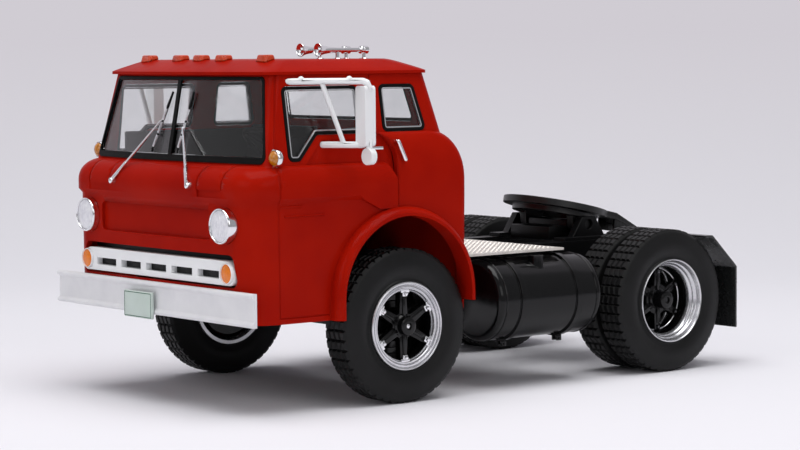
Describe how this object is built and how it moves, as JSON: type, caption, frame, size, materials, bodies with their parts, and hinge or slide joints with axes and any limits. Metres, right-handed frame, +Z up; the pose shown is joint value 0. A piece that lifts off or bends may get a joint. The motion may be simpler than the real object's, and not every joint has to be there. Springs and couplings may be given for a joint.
{
  "type": "scale model of a semi truck tractor unit",
  "caption": "Die-cast collector's model of a cab-over tractor unit: hollow cab, moulded chassis, turning wheels, dual rear tyres and a tilting fifth wheel.",
  "frame": {"origin": "centre of the bounding box at ground level, under the middle of the model", "axes": "+X forward, +Y to the truck's left, +Z up"},
  "size_m": [0.1042, 0.0628, 0.0564],
  "materials": {
    "cab_paint": "gloss",
    "white_moulding": "gloss",
    "black_moulding": "satin",
    "tank_black": "gloss",
    "interior_grey": "matt",
    "clear_glazing": "polished",
    "window_rubber": "satin",
    "bright_metal": "polished",
    "lamp_lens": "polished",
    "orange_lens": "gloss",
    "amber_lamp": "gloss",
    "roof_lens": "gloss",
    "tail_lens": "gloss",
    "plate_plastic": "satin",
    "steel_pin": "turned",
    "tread_plate": "satin",
    "tyre_rubber": "matt",
    "rim_silver": "satin",
    "hub_black": "gloss",
    "engine_black": "matt"
  },
  "bodies": {
    "tractor": {"cab_shell": "cab_paint", "cab_interior": "interior_grey", "steering_wheel": "interior_grey", "windscreen_glass": "clear_glazing", "windscreen_seal": "window_rubber", "door_glass": "clear_glazing", "door_window_seals": "window_rubber", "quarter_glass": "clear_glazing", "quarter_window_seals": "window_rubber", "rear_glass": "clear_glazing", "rear_window_seal": "window_rubber", "grille_bar": "white_moulding", "bumper": "white_moulding", "number_plate": "plate_plastic", "headlamp_bezels": "bright_metal", "headlamp_lenses": "lamp_lens", "turn_signals": "orange_lens", "corner_lamps": "amber_lamp", "roof_markers": "roof_lens", "air_horns": "bright_metal", "wipers": "bright_metal", "door_handles": "bright_metal", "grab_handles": "bright_metal", "mirror_left": "white_moulding", "mirror_right": "white_moulding", "chassis_frame": "black_moulding", "engine_block": "engine_black", "front_axle_beam": "black_moulding", "rear_axle_housing": "black_moulding", "axle_pins": "steel_pin", "springs": "black_moulding", "propshaft": "black_moulding", "fuel_tank_left": "tank_black", "fuel_tank_right": "tank_black", "catwalk_plate": "tread_plate", "fifth_wheel_pedestals": "black_moulding", "mudflap_left": "black_moulding", "mudflap_right": "black_moulding", "tail_lamps": "tail_lens"},
    "front_wheel_left": {"front_tyre_left": "tyre_rubber", "front_rim_left": "rim_silver", "front_hub_left": "hub_black"},
    "rear_wheels_left": {"rear_tyres_left": "tyre_rubber", "rear_rims_left": "rim_silver", "rear_hub_left": "hub_black"},
    "front_wheel_right": {"front_tyre_right": "tyre_rubber", "front_rim_right": "rim_silver", "front_hub_right": "hub_black"},
    "rear_wheels_right": {"rear_tyres_right": "tyre_rubber", "rear_rims_right": "rim_silver", "rear_hub_right": "hub_black"},
    "fifth_wheel": {"fifth_wheel_plate": "black_moulding"}
  },
  "joints": [
    {"name": "front_wheel_left_spin", "type": "hinge", "parent": "tractor", "child": "front_wheel_left", "pos_m": [0.0213, 0.02425, 0.0122], "axis": [0, 1, 0], "continuous": true},
    {"name": "rear_wheels_left_spin", "type": "hinge", "parent": "tractor", "child": "rear_wheels_left", "pos_m": [-0.0364, 0.0213, 0.0122], "axis": [0, 1, 0], "continuous": true},
    {"name": "front_wheel_right_spin", "type": "hinge", "parent": "tractor", "child": "front_wheel_right", "pos_m": [0.0213, -0.02425, 0.0122], "axis": [0, 1, 0], "continuous": true},
    {"name": "rear_wheels_right_spin", "type": "hinge", "parent": "tractor", "child": "rear_wheels_right", "pos_m": [-0.0364, -0.0213, 0.0122], "axis": [0, 1, 0], "continuous": true},
    {"name": "fifth_wheel_tilt", "type": "hinge", "parent": "tractor", "child": "fifth_wheel", "pos_m": [-0.0339, 0, 0.0245], "axis": [0, 1, 0], "range_deg": [0, 22.5]}
  ]
}
